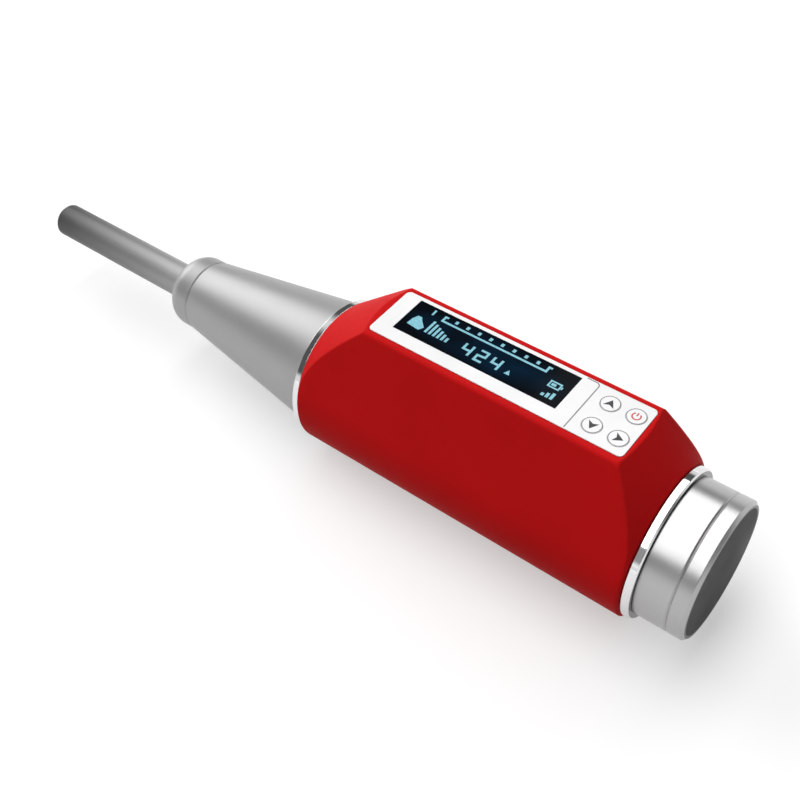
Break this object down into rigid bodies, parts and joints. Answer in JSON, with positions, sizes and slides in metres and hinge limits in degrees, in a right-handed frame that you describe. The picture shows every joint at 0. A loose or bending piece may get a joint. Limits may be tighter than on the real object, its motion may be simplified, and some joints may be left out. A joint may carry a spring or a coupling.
{
  "type": "concrete test hammer",
  "caption": "Rebound hammer for testing concrete: a sprung plunger in a conical nose, a red housing with a display and key panel on its sloped back, and a round tail cap.",
  "frame": {"origin": "on the hammer axis at the nose, where the free stretch of the plunger ends", "axes": "+X along the hammer axis from nose to tail, +Z out of the key panel, +Y to the side with the lock button"},
  "size_m": [0.3388, 0.0665, 0.0763],
  "materials": {
    "housing_red": "satin red",
    "panel_white": "matt white",
    "window_glass": "clear cover over a dark display",
    "module_black": "matt black",
    "board_green": "matt green",
    "switch_black": "matt black",
    "battery_silver": "foil",
    "screw_steel": "plain",
    "ring_bright": "polished",
    "cap_aluminium": "fine turned",
    "felt_grey": "felt",
    "brass": "turned",
    "mech_steel": "turned",
    "plunger_steel": "ground",
    "pad_grey": "matt dark grey",
    "key_white": "matt white with printed sign",
    "button_dark": "matt black",
    "spring_steel": "drawn wire"
  },
  "bodies": {
    "shell": {"housing": "housing_red", "face_panel": "panel_white", "display_window": "window_glass", "display_module": "module_black", "main_board": "board_green", "sensor_strip": "board_green", "switch_block": "switch_black", "battery_pack": "battery_silver", "board_screws": "screw_steel", "front_ring": "ring_bright", "front_cap": "cap_aluminium", "nose_collar": "cap_aluminium", "felt_seal": "felt_grey", "guide_sleeve": "brass", "stop_ring": "mech_steel", "rider_rod": "mech_steel", "rear_ring": "ring_bright", "tail_cap": "cap_aluminium", "trip_screw": "screw_steel", "lock_nut": "screw_steel", "end_pad": "pad_grey", "button_bush": "cap_aluminium", "impact_spring": "spring_steel", "compression_spring": "spring_steel", "button_spring": "spring_steel"},
    "carriage": {"plunger": "plunger_steel", "guide_bar": "mech_steel", "guide_disk": "mech_steel", "bar_nut": "screw_steel", "pawl_pin": "mech_steel", "buffer_spring": "spring_steel", "pawl_spring": "spring_steel"},
    "hammer": {"hammer_mass": "mech_steel"},
    "pawl": {"pawl": "mech_steel"},
    "rider": {"rebound_rider": "brass"},
    "up_key": {"key_up": "key_white"},
    "power_key": {"key_power": "key_white"},
    "down_key": {"key_down": "key_white"},
    "right_key": {"key_right": "key_white"},
    "button": {"lock_button": "button_dark"}
  },
  "joints": [
    {"name": "plunger_slide", "type": "slide", "parent": "shell", "child": "carriage", "axis": [1, 0, 0], "range_m": [0, 0.065], "stiffness_N_per_m": 120, "springref_m": -0.02, "deforming": ["compression_spring", "impact_spring"]},
    {"name": "hammer_slide", "type": "slide", "parent": "carriage", "child": "hammer", "axis": [-1, 0, 0], "range_m": [0, 0.065], "deforming": ["impact_spring"]},
    {"name": "pawl_pivot", "type": "hinge", "parent": "carriage", "child": "pawl", "pos_m": [0.16306, 0, -0.0175], "axis": [0, 1, 0], "range_deg": [0, 11], "stiffness_Nm_per_rad": 0.02, "deforming": ["pawl_spring"]},
    {"name": "rider_slide", "type": "slide", "parent": "shell", "child": "rider", "axis": [1, 0, 0], "range_m": [0, 0.038]},
    {"name": "lock_button_press", "type": "slide", "parent": "shell", "child": "button", "axis": [0, -1, 0], "range_m": [0, 0.002], "stiffness_N_per_m": 600, "deforming": ["button_spring"]},
    {"name": "up_key_press", "type": "slide", "parent": "shell", "child": "up_key", "axis": [0, 0, -1], "range_m": [0, 0.0004], "stiffness_N_per_m": 400},
    {"name": "power_key_press", "type": "slide", "parent": "shell", "child": "power_key", "axis": [0, 0, -1], "range_m": [0, 0.0004], "stiffness_N_per_m": 400},
    {"name": "down_key_press", "type": "slide", "parent": "shell", "child": "down_key", "axis": [0, 0, -1], "range_m": [0, 0.0004], "stiffness_N_per_m": 400},
    {"name": "right_key_press", "type": "slide", "parent": "shell", "child": "right_key", "axis": [0, 0, -1], "range_m": [0, 0.0004], "stiffness_N_per_m": 400}
  ]
}
